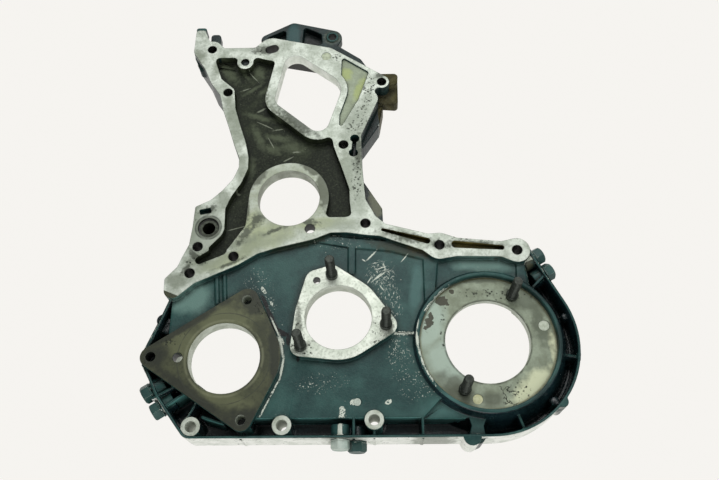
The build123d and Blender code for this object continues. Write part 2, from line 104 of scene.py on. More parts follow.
# Folds sharper than this stay sharp on the turned and hexagonal pieces
FORM_ANGLE = math.radians(35)
FORM_WELD = 0.001

# Studs: axis, height of the seat; then depth in the casting, height and radii, in mm. A cut is what
# a chamfer takes off the radius, and its height
STUDS = {"flange_stud_1": (-162.0, 72.0, FACE_Z), "flange_stud_2": (-193.0, -6.0, FACE_Z),
         "flange_stud_3": (-105.0, 16.0, FACE_Z), "ring_stud_1": (28.33, 49.46, RING_FLOOR_Z),
         "ring_stud_2": (-26.67, -50.37, RING_FLOOR_Z)}
STUD_GRIP = {"flange": 16.0, "ring": 10.0}
STUD_HEIGHT = 44.0
STUD_R = 5.0
STUD_SIDES = 40
COLLAR_R = 6.4
COLLAR_HEIGHT = 7.0
COLLAR_CUT = (0.8, 1.0)
THREAD_PITCH = 1.5
THREAD_DEPTH = 0.75
THREAD_ROWS = 8
TIP_CUT = (1.3, 1.6)

# Side bolts: point on the rim, direction faced in degrees, height, head length, turn of the head.
# The one whose paint is worn off, coloured pale and lightened further as painted light, is given by its
# number
SIDE_BOLTS = [(-345.2, -47.4, 212.0, 29.0, 9.0, 25.0), (-334.5, -64.0, 212.0, 26.0, 9.0, 40.0),
              (-152.0, -98.0, 270.0, 30.0, 8.0, 12.0), (-135.5, -98.0, 270.0, 20.0, 9.0, 30.0),
              (56.0, 94.5, 30.0, 30.0, 9.0, 20.0), (66.0, 77.5, 30.0, 26.0, 9.0, 35.0)]
WORN_AND_LIT_BOLT = 3
BOLT_SEAT = 0.5
BOLT_SIDES = 72
WASHER_R = 9.5
WASHER_T = 1.5
WASHER_CUT = 0.4
HEX_HALF = 8.5
SHANK_R = 4.0
SHANK_LENGTH = 10.0
DISH_DEPTH = 0.5

# Chamfer of a bolt's head: distance below its top, and what it takes off the hexagon's corner
HEAD_CHAMFER = [(1.4, 0.35), (0.9, 0.9), (0.3, 1.7)]


def linear(code):
    """Turn an sRGB hex code into linear RGBA."""
    srgb = np.array([int(code[place:place + 2], 16) for place in (1, 3, 5)]) / 255
    low = srgb / 12.92
    high = ((srgb + 0.055) / 1.055) ** 2.4
    return (*np.where(srgb <= 0.04045, low, high), 1.0)


def add(tree, kind, sockets=None, **settings):
    """Add one shader node: settings are its properties, sockets its inputs as values or links."""
    made = tree.nodes.new("ShaderNode" + kind)
    for name, value in settings.items():
        setattr(made, name, value)
    for place, value in (sockets or {}).items():
        if isinstance(value, bpy.types.NodeSocket):
            tree.links.new(value, made.inputs[place])
        else:
            made.inputs[place].default_value = value
    return made.outputs


def new_finish(name):
    """Start a material with a Principled shader and return it with its tree and coordinates."""
    finish = bpy.data.materials.new(name)
    finish.use_nodes = True
    tree = finish.node_tree
    shader = tree.nodes["Principled BSDF"]
    place = add(tree, "TexCoord")["Object"]
    return finish, tree, shader, place


def set_shader(tree, shader, **values):
    """Fill the shader's sockets with values or links, spaces written as underscores."""
    for name, value in values.items():
        socket = shader.inputs[name.replace("_", " ")]
        if isinstance(value, bpy.types.NodeSocket):
            tree.links.new(value, socket)
        else:
            socket.default_value = value


def where_all(tree, *masks):
    """Mask that holds where all of the masks or shares do: their product."""
    whole = masks[0]
    for mask in masks[1:]:
        whole = add(tree, "Math", {0: whole, 1: mask}, operation="MULTIPLY", use_clamp=True)[0]
    return whole


def where_any(tree, *masks):
    """Mask that holds where any of the masks does: the strongest of them."""
    whole = masks[0]
    for mask in masks[1:]:
        whole = add(tree, "Math", {0: whole, 1: mask}, operation="MAXIMUM", use_clamp=True)[0]
    return whole


def laid_over(tree, colour, code, *masks):
    """Colour with a hex colour laid over it where all of the masks or shares hold."""
    return add(tree, "Mix", {0: where_all(tree, *masks), 6: colour, 7: linear(code)},
               data_type="RGBA")[2]


def blotches(tree, place, size, low, high, detail=4.0, drawn=1.0, turn=0.0, seed=0.0):
    """Noise of a given patch size in mm, drawn out along a turn in degrees, cut into a mask."""
    laid = add(tree, "Mapping", {"Vector": place, "Location": (seed, 0, 0), "Scale": (drawn, 1, 1),
                                 "Rotation": (0, 0, math.radians(turn))}, vector_type="TEXTURE")[0]
    cloud = add(tree, "TexNoise", {"Vector": laid, "Scale": 1 / (size * MM), "Detail": detail,
                                   "Roughness": 0.6})["Fac"]
    return add(tree, "MapRange", {"Value": cloud, "From Min": low, "From Max": high},
               interpolation_type="SMOOTHSTEP")[0]


def specks(tree, place, spacing, size, seed=0.0):
    """Round specks of a given size in mm, one to each cell of a given spacing."""
    laid = add(tree, "Mapping", {"Vector": place, "Location": (seed, seed, 0)})[0]
    cells = add(tree, "TexVoronoi", {"Vector": laid, "Scale": 1 / (spacing * MM)})["Distance"]
    reach = size / spacing / 2
    return add(tree, "MapRange", {"Value": cells, "From Min": reach, "From Max": reach * 0.5})[0]


def patches(tree, place, places, ragged, torn=1.1, soft=0.2):
    """Mask of ellipses (x, y, half length, half width, turn in degrees), edges torn by noise."""
    flat = add(tree, "VectorMath", {0: place, 1: (1, 1, 0)}, operation="MULTIPLY")[0]
    edge = add(tree, "TexNoise", {"Vector": place, "Scale": 1 / (ragged * MM), "Detail": 5.0})["Fac"]
    nearest = None
    for x, y, long, wide, turn in places:
        near = add(tree, "Mapping", {"Vector": flat, "Location": (x * MM, y * MM, 0),
                                     "Rotation": (0, 0, math.radians(turn)),
                                     "Scale": (long * MM, wide * MM, 1)}, vector_type="TEXTURE")[0]
        reach = add(tree, "VectorMath", {0: near}, operation="LENGTH")["Value"]
        nearest = reach if nearest is None else add(tree, "Math", {0: nearest, 1: reach},
                                                    operation="MINIMUM")[0]
    broken = add(tree, "Math", {0: edge, 1: torn, 2: nearest}, operation="MULTIPLY_ADD")[0]
    edge_at = 1 + torn / 2
    return add(tree, "MapRange", {"Value": broken, "From Min": edge_at + soft,
                                  "From Max": edge_at - soft})[0]


def marked(tree, place, colour, marks):
    """Colour with marks laid over it: (hex code, share, grain in mm, torn, soft, places)."""
    for code, share, ragged, torn, soft, places in marks:
        colour = laid_over(tree, colour, code, patches(tree, place, places, ragged, torn, soft), share)
    return colour


def circle_line(tree, place, centre, radius, width):
    """Mask of a circle's line round an axis: distance to the axis, less the radius."""
    away = add(tree, "VectorMath", {0: place, 1: (centre[0] * MM, centre[1] * MM, 0)},
               operation="SUBTRACT")[0]
    flat = add(tree, "VectorMath", {0: away, 1: (1, 1, 0)}, operation="MULTIPLY")[0]
    reach = add(tree, "VectorMath", {0: flat}, operation="LENGTH")["Value"]
    off = add(tree, "Math", {0: reach, 1: radius * MM}, operation="SUBTRACT")[0]
    off = add(tree, "Math", {0: off}, operation="ABSOLUTE")[0]
    return add(tree, "MapRange", {"Value": off, "From Min": width * MM, "From Max": 0})[0]


def branching_cracks(tree, place):
    """Mask of cracks: the borders of Voronoi cells 14 mm wide, bent by noise of up to 20 mm."""
    bent = add(tree, "TexNoise", {"Vector": place, "Scale": 1 / (8 * MM), "Detail": 4.0})["Color"]
    bent = add(tree, "VectorMath", {0: bent, 1: (20 * MM, 20 * MM, 0), 2: place},
               operation="MULTIPLY_ADD")[0]
    split = add(tree, "TexVoronoi", {"Vector": bent, "Scale": 1 / (14 * MM)},
                feature="DISTANCE_TO_EDGE")["Distance"]
    return add(tree, "MapRange", {"Value": split, "From Min": 0.05, "From Max": 0.015})[0]


def corner_dirt_and_shade(tree, reach, low, high):
    """Mask of inside corners, where the surface sees less open air within a reach in mm: where dirt and
    painted shade are laid.
    """
    air = add(tree, "AmbientOcclusion", {"Distance": reach * MM}, samples=6, only_local=True)["AO"]
    return add(tree, "MapRange", {"Value": air, "From Min": high, "From Max": low})[0]


def edge_mask_for_wear_and_shade(tree, radius, low, high):
    """Mask of edges: where a rounded normal leaves the true one."""
    rounded = add(tree, "Bevel", {"Radius": radius * MM}, samples=4)[0]
    true = add(tree, "NewGeometry")["Normal"]
    along = add(tree, "VectorMath", {0: rounded, 1: true}, operation="DOT_PRODUCT")["Value"]
    return add(tree, "MapRange", {"Value": along, "From Min": low, "From Max": high})[0]


def rough_skin(tree, shader, height, strength, depth, rounding=0.0):
    """Bump the shader by a pattern of a depth in mm, over corners rounded by a radius in mm."""
    sockets = {"Height": height, "Strength": strength, "Distance": depth * MM}
    if rounding:
        sockets["Normal"] = add(tree, "Bevel", {"Radius": rounding * MM}, samples=6)[0]
    tree.links.new(add(tree, "Bump", sockets)[0], shader.inputs["Normal"])


def machined_face(name, pale, grey, mottle_colour="#6a7161", marks=(), pit_places=(), lines=(),
                  cracks=()):
    """Face-milled cast aluminium, used: pale and dull, with corroded pits and oil stains."""
    finish, tree, shader, place = new_finish(name)
    mottle = blotches(tree, place, 16.0, 0.36, 0.66)
    fine = blotches(tree, place, 2.6, 0.45, 0.72, seed=3.0)
    colour = laid_over(tree, linear(pale), grey, mottle)
    colour = laid_over(tree, colour, mottle_colour, fine, 0.45)
    colour = marked(tree, place, colour, marks)
    for centre, radius, width, code, share in lines:
        colour = laid_over(tree, colour, code, circle_line(tree, place, centre, radius, width),
                           blotches(tree, place, 12.0, 0.3, 0.55, seed=13.0), share)
    chosen = blotches(tree, place, 22.0, 0.66, 0.74, seed=7.0)
    if pit_places:
        chosen = where_any(tree, chosen, patches(tree, place, pit_places, 9.0, 1.4))
    pits = where_all(tree, specks(tree, place, 3.1, 2.9), chosen,
                     blotches(tree, place, 3.6, 0.47, 0.53, seed=11.0))
    if cracks:
        pits = where_any(tree, pits, where_all(tree, branching_cracks(tree, place),
                                               patches(tree, place, cracks, 8.0)))
    # Inside corners darkened by dirt and painted shade, then dark lines along the edges, part dirt and
    # part painted shade
    colour = laid_over(tree, colour, "#23281f", corner_dirt_and_shade(tree, 4.0, 0.5, 0.88), 0.75)
    colour = laid_over(tree, colour, "#3c4136", edge_mask_for_wear_and_shade(tree, 1.6, 0.985, 0.8),
                       blotches(tree, place, 7.0, 0.3, 0.6, seed=17.0), 0.7)
    colour = laid_over(tree, colour, "#262b21", pits)
    grain = blotches(tree, place, 0.9, 0.3, 0.7, seed=5.0)
    height = add(tree, "Math", {0: pits, 1: -1.0, 2: where_all(tree, grain, 0.12)},
                 operation="MULTIPLY_ADD")[0]
    rough_skin(tree, shader, height, 0.5, 0.5)
    set_shader(tree, shader, Base_Color=colour, Metallic=0.45, Roughness=0.5)
    return finish


def enamel(name, deep, light, gloss, wear, marks=(), chips=(), flakes=(), scratches=(), strokes=(),
           dirt_and_shade_share=0.8, skin=0.5, rounding=0.0, shine=0.2):
    """Sprayed enamel over rough cast aluminium: satin, chipped to pale metal at edges and knocks.

    Chips and flakes are places, scratches are (turn, width, drawn out, places), strokes are single
    long ones. One argument gives the share of dirt and painted shade in inside corners; skin is the
    depth of the pebbled skin.
    """
    finish, tree, shader, place = new_finish(name)
    tone = blotches(tree, place, 34.0, 0.35, 0.7)
    fine = blotches(tree, place, 3.0, 0.35, 0.75, seed=2.0)
    colour = laid_over(tree, linear(deep), light, tone)
    colour = laid_over(tree, colour, "#48716a", fine, 0.12)
    colour = marked(tree, place, colour, marks)
    # Inside corners darkened by dirt and painted shade, unevenly
    colour = laid_over(tree, colour, "#0e1613", corner_dirt_and_shade(tree, 9.0, 0.58, 0.94),
                       blotches(tree, place, 9.0, 0.2, 0.55, seed=12.0), dirt_and_shade_share)
    bare = where_all(tree, edge_mask_for_wear_and_shade(tree, 1.1, 0.93, 0.6),
                     blotches(tree, place, 5.0, 0.52 - wear, 0.62 - wear, seed=9.0))
    if chips:
        grit = blotches(tree, place, 1.6, 0.4, 0.5, seed=15.0)
        bare = where_any(tree, bare, where_all(tree, patches(tree, place, chips, 5.0, 2.2, 0.08), grit))
    if flakes:
        spots = blotches(tree, place, 1.7, 0.61, 0.67, detail=6.0, seed=4.0)
        bare = where_any(tree, bare, where_all(tree, spots, patches(tree, place, flakes, 16.0), 0.85))
    for turn, size, drawn, where in scratches:
        cut = blotches(tree, place, size, 0.62, 0.65, detail=2.0, drawn=drawn, turn=turn, seed=turn)
        bare = where_any(tree, bare, where_all(tree, cut, patches(tree, place, where, 12.0)))
    if strokes:
        bare = where_any(tree, bare, patches(tree, place, strokes, 1.5, 1.2, 0.3))
    dots = where_all(tree, specks(tree, place, 9.0, 1.2, seed=0.3),
                     blotches(tree, place, 40.0, 0.5, 0.6, seed=1.0))
    bare = where_any(tree, bare, where_all(tree, dots, 0.8))
    colour = laid_over(tree, colour, "#ccd3c5", bare)
    # The bump reads few nodes, because a bump works its height out three times
    pebbles = blotches(tree, place, 1.8, 0.2, 0.8, seed=6.0)
    height = add(tree, "Math", {0: dots, 1: -0.6, 2: where_all(tree, pebbles, skin)},
                 operation="MULTIPLY_ADD")[0]
    rough_skin(tree, shader, height, 0.45, 0.5, rounding)
    dull = add(tree, "Math", {0: bare, 1: 0.25, 2: gloss}, operation="MULTIPLY_ADD")[0]
    set_shader(tree, shader, Base_Color=colour, Roughness=dull, Specular_IOR_Level=shine)
    return finish


def oily_casting(name, deep, light, marks=()):
    """Rough cast aluminium under baked oil: near black, with wiped lighter streaks."""
    finish, tree, shader, place = new_finish(name)
    smear = blotches(tree, place, 20.0, 0.42, 0.72, drawn=1.8, turn=50.0)
    colour = laid_over(tree, linear(deep), light, smear)
    colour = marked(tree, place, colour, marks)
    colour = laid_over(tree, colour, "#545c46", blotches(tree, place, 2.0, 0.42, 0.75, seed=3.0), 0.3)
    colour = laid_over(tree, colour, "#8a927c", specks(tree, place, 5.0, 1.0),
                       blotches(tree, place, 25.0, 0.46, 0.58, seed=5.0), 0.6)
    # Inside corners darkened by dirt and painted shade
    colour = laid_over(tree, colour, "#0f130e", corner_dirt_and_shade(tree, 7.0, 0.5, 0.88), 0.85)
    rough_skin(tree, shader, blotches(tree, place, 1.6, 0.2, 0.8, seed=8.0), 0.5, 0.5)
    set_shader(tree, shader, Base_Color=colour, Roughness=0.5, Specular_IOR_Level=0.15)
    return finish


def bare_casting(name, pale, grey, dark_share, marks=()):
    """Sand-cast aluminium, unpainted: light grey and grainy, with dark flecks of old dirt."""
    finish, tree, shader, place = new_finish(name)
    colour = laid_over(tree, linear(pale), grey, blotches(tree, place, 14.0, 0.35, 0.7))
    colour = marked(tree, place, colour, marks)
    flecks = blotches(tree, place, 4.0, 0.72 - dark_share, 0.78 - dark_share, seed=4.0)
    colour = laid_over(tree, colour, "#39433c", flecks, 0.7)
    rough_skin(tree, shader, blotches(tree, place, 1.5, 0.2, 0.8, seed=8.0), 0.5, 0.5)
    set_shader(tree, shader, Base_Color=colour, Metallic=0.4, Roughness=0.55)
    return finish


def plain_metal(name, colour_a, colour_b, metallic, roughness):
    """Small steel or brass fitting, dulled by oil and handling: two close tones and a fine grain."""
    finish, tree, shader, place = new_finish(name)
    colour = laid_over(tree, linear(colour_a), colour_b, blotches(tree, place, 3.0, 0.35, 0.7))
    rough_skin(tree, shader, blotches(tree, place, 0.8, 0.2, 0.8, seed=8.0), 0.3, 0.2)
    set_shader(tree, shader, Base_Color=colour, Metallic=metallic, Roughness=roughness)
    return finish


# The casting's finishes, which face_finishes shares out over its polygons. Sizes are in mm, and
# patterns finer than about a millimetre are drawn that coarse, because a pixel of the render is
# about a millimetre wide
finishes = {
    # Face-milled aluminium, aged: pale and satin, clouded with grey, pitted, and dark at edges and
    # corners with oil and painted shade
    "gasket_face": machined_face(
        "milled aluminium, gasket face", "#c3cabf", "#9ba396",
        marks=[
            ("#8c9468", 0.65, 14, 1.1, 0.35, [
                (-238, 118, 34, 14, 20), (-272, 92, 34, 8, 22), (-175, 133, 28, 7, 5),
                (-252, 135, 14, 14, 0)]),
            ("#6a7261", 0.7, 7, 1.8, 0.4, [
                (-318, 135, 10, 24, 0), (-300, 97, 24, 8, 25), (-304, 346, 7, 16, -20),
                (-281, 268, 9, 44, 13), (-266, 205, 6, 18, 0), (-329, 362, 8, 12, 0),
                (-285, 165, 8, 14, 30), (-330, 68, 12, 10, 0), (-262, 112, 30, 5, 20),
                (-150, 190, 8, 40, 0)]),
            ("#7a816b", 0.75, 8, 1.6, 0.35, [(-211, 165, 47, 46, 0)]),
            ("#7f8779", 0.75, 12, 1.4, 0.5, [
                (-136, 188, 16, 50, -3), (-136, 262, 17, 34, -14), (-300, 120, 24, 34, -10),
                (-150, 130, 22, 8, 5)]),
            ("#747c69", 0.6, 9, 1.6, 0.5, [(-262, 100, 52, 9, 21), (-300, 85, 20, 12, 20)]),
            ("#5b6151", 0.8, 3, 3.2, 0.4, [
                (-216, 263, 34, 6, -43), (-246, 296, 5, 26, 0), (-276, 326, 4, 26, 20)]),
            ("#454a3b", 0.85, 7, 1.6, 0.25, [
                (-172, 176, 8, 26, 8), (-188, 203, 17, 6, -35), (-248, 190, 6, 14, -35),
                (-258, 150, 4, 12, 0)]),
            ("#343a2d", 0.85, 4, 3.0, 0.45, [
                (-208, 267, 31, 8, -43), (-134, 226, 5, 24, 0), (-250, 371, 13, 6, 0),
                (-83, 116, 26, 5, -14), (-5, 107, 27, 3, -5), (-108, 331, 8, 4, 20),
                (-258, 122, 16, 5, 58), (-246, 139, 8, 6, 46), (-222, 141, 16, 5, 155),
                (-224, 126, 14, 2, 21), (-188, 134, 12, 4, 166), (-274, 86, 16, 2, 23),
                (-311, 96, 10, 3, 130), (-299, 152, 7, 4, 39), (-319, 81, 8, 3, 66),
                (-46, 106, 12, 5, 0)]),
            ("#4d5347", 0.85, 5, 0.3, 0.1, [(-299, 130, 14, 14, 0)])],
        pit_places=[
            (-125, 300, 8, 30, -17), (-136, 262, 15, 7, 40), (-136, 190, 5, 30, 0),
            (-254, 371, 14, 7, 0), (-156, 357, 13, 5, -15), (-320, 150, 8, 20, 0),
            (-300, 95, 20, 7, 20), (-13, 112, 26, 2, -5)],
        lines=[((-299, 130), 14.3, 1.3, "#1c2119", 0.9)]),
    # As-cast floor of the shallow recess: duller than the milled face, yellowed by oil
    "crescent": machined_face(
        "cast aluminium, crescent recess", "#858f7a", "#747d68",
        marks=[
            ("#8b9660", 0.85, 6, 1.2, 0.35, [
                (-149, 334, 7, 9, 0), (-124, 321, 9, 7, 0), (-132, 311, 6, 16, -20)])]),
    # Milled flange wiped clean: the brightest metal on the part, with dirt and painted shade in its
    # edges
    "pale_flange": machined_face(
        "milled aluminium, pump flange", "#d9dfd2", "#bdc5b6",
        marks=[
            ("#4b5145", 0.7, 3, 2.6, 0.4, [
                (-196, -10, 16, 3, 30), (-140, -20, 18, 1.5, 8), (-101, 12, 4, 12, 0),
                (-196, 22, 3, 26, 5), (-118, 58, 26, 2, -45)])],
        pit_places=[(-194, 10, 5, 24, 0), (-113, 8, 6, 16, 0), (-190, -8, 12, 8, 0)]),
    # Turned face: green-grey, with a worn pale arc, dark oil, flaked sealant and fine cracks
    "ring_floor": machined_face(
        "turned aluminium, ring floor", "#87917e", "#6d7562",
        marks=[
            ("#96a699", 0.85, 16, 0.9, 0.35, [(-58, 20, 13, 34, -14), (-44, -18, 20, 24, 30)]),
            ("#c2c7a6", 0.85, 8, 1.2, 0.3, [(44, -50, 14, 30, -48), (67, -10, 4, 24, 5)]),
            ("#4d5445", 0.75, 7, 1.8, 0.35, [
                (38, 50, 26, 10, -42), (-10, 68, 30, 3, 0), (57, 14, 9, 20, 15)]),
            ("#4a4f41", 0.7, 10, 1.3, 0.35, [(-34, -50, 22, 12, -40), (0, -60, 12, 7, 0)]),
            ("#37362a", 0.95, 4, 2.4, 0.05, [
                (-46, 45, 6, 7, 40), (-60, 21, 4.5, 9, -12), (-35, 55, 3, 2, 0)])],
        pit_places=[(10, 52, 40, 7, 0), (30, -52, 8, 12, 30), (-46, 10, 3, 20, 0)],
        lines=[((0, 0), 45.0, 1.6, "#33372b", 0.8), ((0, 0), 70.0, 1.8, "#7d7a55", 0.7)],
        cracks=[(17, -57, 8, 13, 20)]),
    # Milled flange under baked oil: olive brown, with the faint ring of a gasket
    "oiled_flange": machined_face(
        "milled aluminium under old oil", "#454932", "#343827", mottle_colour="#24281c",
        marks=[
            ("#5c6044", 0.7, 16, 1.0, 0.4, [
                (-272, 22, 34, 14, 22), (-312, -2, 18, 14, 0), (-270, -60, 36, 6, -15)]),
            ("#23271e", 0.85, 7, 1.6, 0.35, [
                (-244, 44, 16, 18, 0), (-246, -80, 24, 12, 0), (-344, -16, 12, 12, 0),
                (-219, -20, 5, 52, 4), (-305, -52, 52, 5, -35), (-312, 17, 46, 4, 33)])],
        pit_places=[(-330, 0, 8, 6, 0), (-236, 36, 8, 8, 0)],
        lines=[
            ((-271.2, -17.8), 48.0, 0.8, "#30342a", 0.9),
            ((-271.2, -17.8), 40.0, 2.0, "#7b7e63", 0.5)]),
    # Enamel sprayed on the sand casting: satin teal, chipped to pale metal where it was knocked
    "paint": enamel(
        "teal enamel on cast aluminium", "#1b3a38", "#2f524d", gloss=0.38, wear=0.04,
        marks=[
            ("#4b716c", 0.6, 14, 1.1, 0.35, [(-40, -66, 26, 12, 10), (-72, 60, 6, 30, -5)]),
            # Pale patches; the one at the left end of the wall, round (-314, 52), is painted light,
            # brighter where the light falls
            ("#6b8c82", 0.75, 14, 1.1, 0.35, [(-314, 52, 20, 18, 10), (0, 86, 30, 9, -3)]),
            ("#2b3423", 0.8, 6, 1.6, 0.3, [(-85, 103, 34, 6, -14), (-200, 112, 40, 5, 14)]),
            ("#4a4228", 0.65, 4, 2.2, 0.3, [
                (12, 94, 24, 2, -6), (50, 84, 5, 9, 0), (-60, 100, 20, 4, -14)]),
            ("#142524", 0.7, 8, 0.8, 0.2, [
                (76, 2, 30, 6, 90), (54, -54, 28, 6, 45), (54, 54, 26, 6, 135)]),
            ("#050807", 1.0, 3, 0.9, 0.1, [
                (-233, 44, 10, 2.2, 113), (-227, 30, 9, 2.6, 113), (-222, 18, 8, 3, 113),
                (-214, 11, 8, 3, 152), (-207, 4, 2, 7, 0), (-197, 12, 9, 2, 86),
                (-196, -12, 2, 9, 0)])],
        chips=[
            (-219, -48, 11, 0.9, 65), (-228, -67, 11, 0.9, 64), (-235, 58, 5, 2, 118),
            (-226, 43, 3, 1.6, 109), (-214, 2, 5, 2, 123), (-70, -16, 11, 1.2, 104),
            (-62, -37, 12, 1.0, 119), (-60, 38, 9, 1.0, 52), (-47, 52, 10, 1.2, 41),
            (-104, -62, 4, 2, 20), (-138, -62, 4, 3, 0), (-86, 9, 10, 2, 0), (-58, -84, 5, 3, 0),
            (-150, -76, 3, 9, 0)],
        flakes=[
            (-240, 66, 14, 20, 20), (-228, 48, 6, 16, 20), (-172, -43, 26, 10, 5),
            (-150, 112, 30, 7, 4), (-60, -40, 30, 16, 30), (-212, -80, 12, 6, 0),
            (-90, -20, 12, 22, 0)],
        scratches=[
            (47.0, 1.0, 5, [(-110, 76, 16, 12, 0)]), (112.0, 0.9, 4, [(-108, 70, 14, 14, 0)]),
            (75.0, 0.9, 4, [(-100, 50, 10, 22, 20), (-93, -8, 10, 16, 0)]),
            (20.0, 0.8, 6, [(-108, 84, 12, 8, 0)])],
        strokes=[
            (-221, 17, 11, 0.9, 115), (-213.8, -4, 12, 1.3, 101), (-212.3, -27, 12, 1.1, 82),
            (-73, 18, 7, 1.6, 81), (-73.5, 2, 9, 1.6, 96), (-120, 97, 7, 0.9, 47),
            (-128, 92, 2.5, 0.6, 145), (-114, 72, 7, 0.7, 43), (-110, 74, 7, 0.6, 38),
            (-122, 69, 4, 0.6, 58), (-84, 94, 5, 0.5, 50), (-109, 83, 6, 0.45, 19),
            (-106, 85, 4, 0.45, 108), (-109, 60, 4, 0.5, 126)]),
    # The same enamel in the low channel: coloured nearly black as painted shade of the deep channel,
    # and glossier
    "channel_paint": enamel(
        "enamel in the channel, darkened as painted shade", "#0a1417", "#15272d", gloss=0.2, wear=-0.06, dirt_and_shade_share=0.5,
        skin=0.02, rounding=3.5, shine=0.45),
    # The same enamel on the near side of the channel, coloured lighter as painted light from the front
    "bank_painted_lit": enamel(
        "teal enamel, near side of the channel", "#4a807b", "#5d948c", gloss=0.3, wear=-0.06,
        dirt_and_shade_share=0.7, skin=0.1, rounding=3.5, shine=0.4),
    # The same enamel on the walls that face outwards: darker, with oily olive marks in places, and on
    # the top lug a stripe of painted light and patches of painted shade
    "outer_paint": enamel(
        "teal enamel, outer walls", "#111c1c", "#203130", gloss=0.34, wear=0.04,
        marks=[
            # A pale stripe of painted light on the lit face of the top lug, then near-black painted
            # shade in the lug's hollows
            ("#335453", 0.8, 10, 0.8, 0.3, [(-216, 402, 8, 22, 0)]),
            ("#070b0b", 0.85, 6, 1.0, 0.3, [
                (-238, 398, 10, 8, 25), (-192, 401, 10, 11, 0), (-255, 392, 8, 6, 0)]),
            ("#5d675a", 0.75, 4, 1.0, 0.3, [(-167, 400, 10, 9, 0)]),
            ("#6d7058", 0.75, 4, 2.2, 0.3, [(-114, 168, 9, 18, 10)])]),
    # Sand-cast skin baked with oil: nearly black, with wiped smears and a few bright scratches
    "pocket": oily_casting(
        "cast aluminium, oil-blackened", "#181e13", "#2a3121",
        marks=[
            ("#59624c", 0.65, 5, 2.2, 0.6, [
                (-294, 347, 18, 6, 123), (-256, 345, 11, 6, 112), (-254, 280, 16, 3, 160),
                (-251, 250, 17, 4, 114), (-234, 235, 9, 5, 161), (-211, 237, 12, 6, 162),
                (-232, 275, 11, 2, 156), (-228, 250, 14, 4, 169), (-258, 210, 12, 4, 88),
                (-262, 320, 13, 2, 38), (-276, 345, 14, 2, 131), (-245, 320, 12, 3, 40)]),
            # Darker patches: dirt, and painted shade towards the lower right of the pockets
            ("#1c2118", 0.85, 20, 1.0, 0.4, [(-165, 190, 24, 44, 0), (-280, 130, 16, 34, -28)]),
            ("#8b927f", 0.7, 3, 1.8, 0.3, [
                (-250, 290, 5, 1.2, 31), (-271, 320, 6, 0.7, 21), (-270, 176, 2, 1.5, 0),
                (-229, 262, 6, 0.7, 10), (-206, 231, 4, 1.1, 0), (-215, 222, 6, 0.8, 30),
                (-272, 133, 12, 0.6, 16), (-262, 338, 9, 0.6, 130), (-244, 268, 10, 0.6, 152),
                (-236, 243, 8, 0.5, 118)])]),
    # Sand-cast skin of the rear, never painted: dull and light grey
    "casting": bare_casting("cast aluminium, bare", "#b0b7ab", "#8f978b", dark_share=0.04),
    # Rim wall facing the front: pale metal where the paint is rubbed through along the foot, coloured
    # near white as painted light from the front
    "rim_side": bare_casting(
        "cast aluminium, scuffed rim, lightened as painted light", "#eceee8", "#ccd2c8", dark_share=0.1,
        marks=[
            ("#6e7568", 0.7, 6, 1.8, 0.3, [(-150, -98, 16, 6, 0), (-60, -98, 20, 6, 0)]),
            ("#1c2b2b", 0.95, 7, 1.8, 0.3, [(78, -56, 20, 14, 50), (-318, -82, 14, 12, 0)])]),
    # Cast wall of the window: bare metal, coloured the palest on the part as painted light, with few
    # flecks
    "window_wall": bare_casting(
        "cast aluminium, window wall, lightened as painted light", "#eef1ea", "#cfd6ca", dark_share=0.06),
    # Bored aluminium: pale, with a fine grain
    "bore": bare_casting(
        "bored aluminium", "#c3c9bd", "#a1a899", dark_share=0.04,
        marks=[("#7b7f72", 0.85, 12, 1.2, 0.3, [(-211.5, 165.5, 38, 38, 0)])]),
    # Cast floor of the oil slots: brown with old oil
    "slot": oily_casting("cast slot under brown oil", "#6a6030", "#8a8048"),
    # Walls of the bolt holes: black, as painted shade in the deep holes, and oily
    "hole": plain_metal("bolt hole, black as painted shade", "#10130f", "#1d201a", metallic=0.0, roughness=0.5),
    # Lug at the right of the arm: oily casting stained brown with rust
    "rust_lug": oily_casting("cast lug, rust-stained", "#38341f", "#5a5537"),
}
ORDER = list(finishes)
MACHINED = [ORDER.index(name) for name in
            ("gasket_face", "pale_flange", "oiled_flange", "ring_floor", "bore", "hole")]


def face_normals(mesh):
    """Normal of each polygon, as rows."""
    normal = np.zeros(len(mesh.polygons) * 3)
    mesh.polygons.foreach_get("normal", normal)
    return normal.reshape(-1, 3)


def neighbours(mesh):
    """The two polygons at each edge of a closed mesh, and the cosine between their normals."""
    corner_edge = np.zeros(len(mesh.loops), np.int32)
    mesh.loops.foreach_get("edge_index", corner_edge)
    totals = np.zeros(len(mesh.polygons), np.int32)
    mesh.polygons.foreach_get("loop_total", totals)
    owner = np.repeat(np.arange(len(mesh.polygons)), totals)
    pairs = owner[np.argsort(corner_edge, kind="stable")].reshape(-1, 2)
    normal = face_normals(mesh)
    return pairs, (normal[pairs[:, 0]] * normal[pairs[:, 1]]).sum(1)


